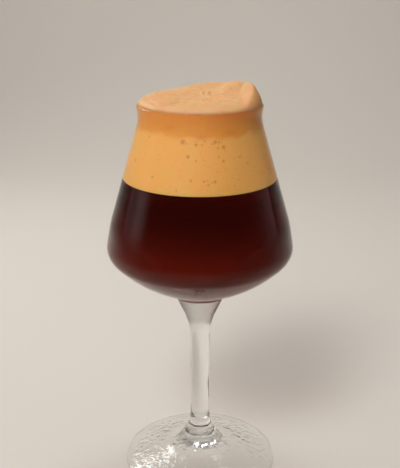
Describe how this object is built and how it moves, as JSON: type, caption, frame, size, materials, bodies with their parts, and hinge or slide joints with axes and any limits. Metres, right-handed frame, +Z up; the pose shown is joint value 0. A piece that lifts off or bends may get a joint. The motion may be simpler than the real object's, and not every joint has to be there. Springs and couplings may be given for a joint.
{
  "type": "glass of old ale",
  "caption": "Stemmed tulip glass with a pinched neck and a wide low bowl, filled with dark ale under a deep tan head of foam that stands over the lip.",
  "frame": {"origin": "on the table, under the middle of the foot", "axes": "+Z up along the stem; the glass is round about Z; the foam stands highest towards +X, and -Y is the front"},
  "size_m": [0.0947, 0.0948, 0.2065],
  "materials": {
    "clear_glass": "smooth clear glass, thin wall, thick at the bottom of the bowl",
    "dark_ale": "clear dark red-brown ale, near black where it is deep",
    "tan_foam": "dense tan foam with fine bubbles, darker in the neck"
  },
  "bodies": {
    "root": {"glass": "clear_glass", "ale": "dark_ale", "foam": "tan_foam"}
  },
  "joints": []
}
